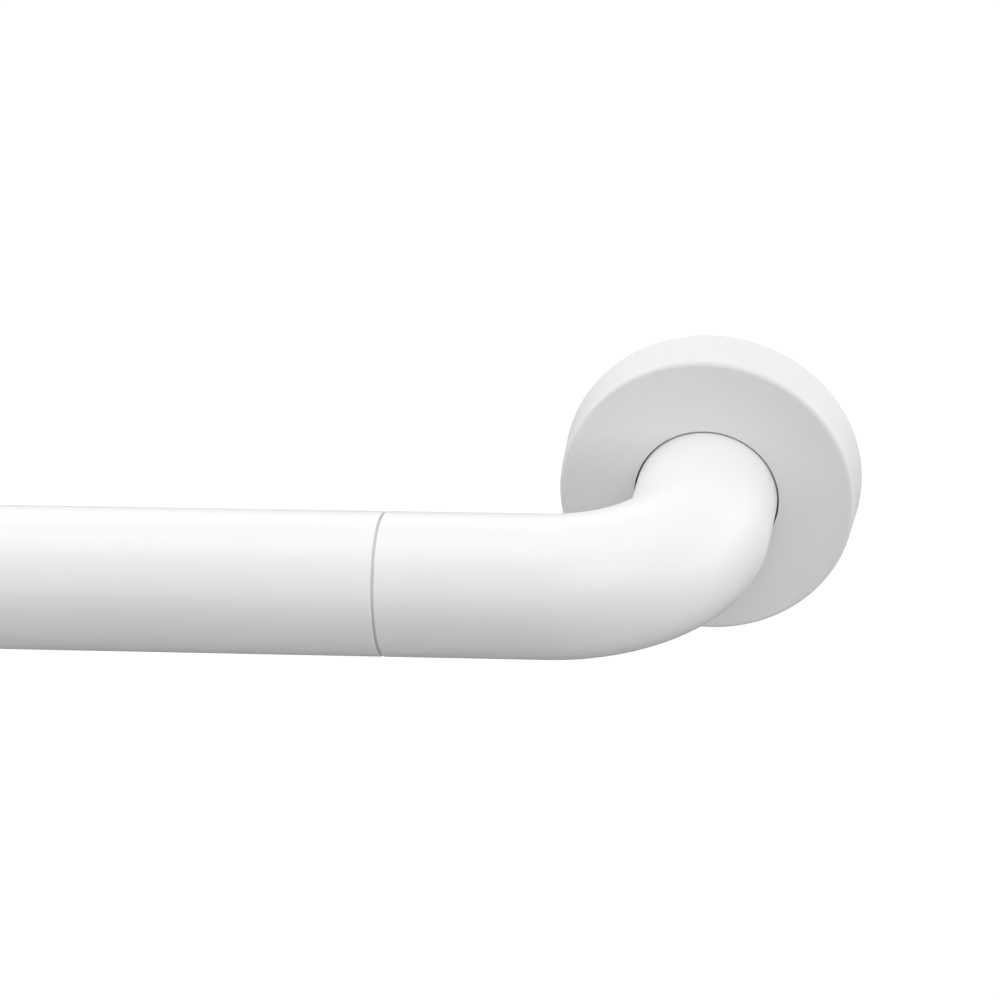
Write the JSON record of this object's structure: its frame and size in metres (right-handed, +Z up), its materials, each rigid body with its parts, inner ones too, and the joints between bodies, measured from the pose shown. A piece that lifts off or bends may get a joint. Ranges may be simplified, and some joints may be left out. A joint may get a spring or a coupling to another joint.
{
  "type": "grab bar",
  "caption": "Straight white wall grab bar with bent ends and round roses over hidden fixings, to hold on to beside a bath, shower or toilet.",
  "frame": {"origin": "on the wall plane, midway between the axes of the two legs", "axes": "+X along the bar to the end that the picture shows, +Y into the wall, +Z up"},
  "size_m": [0.67, 0.0775, 0.07],
  "materials": {
    "white_polyamide": "smooth moulded polyamide with a soft gloss",
    "white_cover": "satin moulded polyamide",
    "plated_steel": "zinc-plated steel",
    "turned_steel": "turned steel"
  },
  "bodies": {
    "root": {"grip_tube": "white_polyamide", "left_elbow": "white_polyamide", "right_elbow": "white_polyamide", "left_rose": "white_cover", "right_rose": "white_cover", "steel_core": "plated_steel", "left_core_plug": "turned_steel", "right_core_plug": "turned_steel", "left_wall_plate": "plated_steel", "right_wall_plate": "plated_steel", "plate_bolts": "turned_steel"}
  },
  "joints": []
}
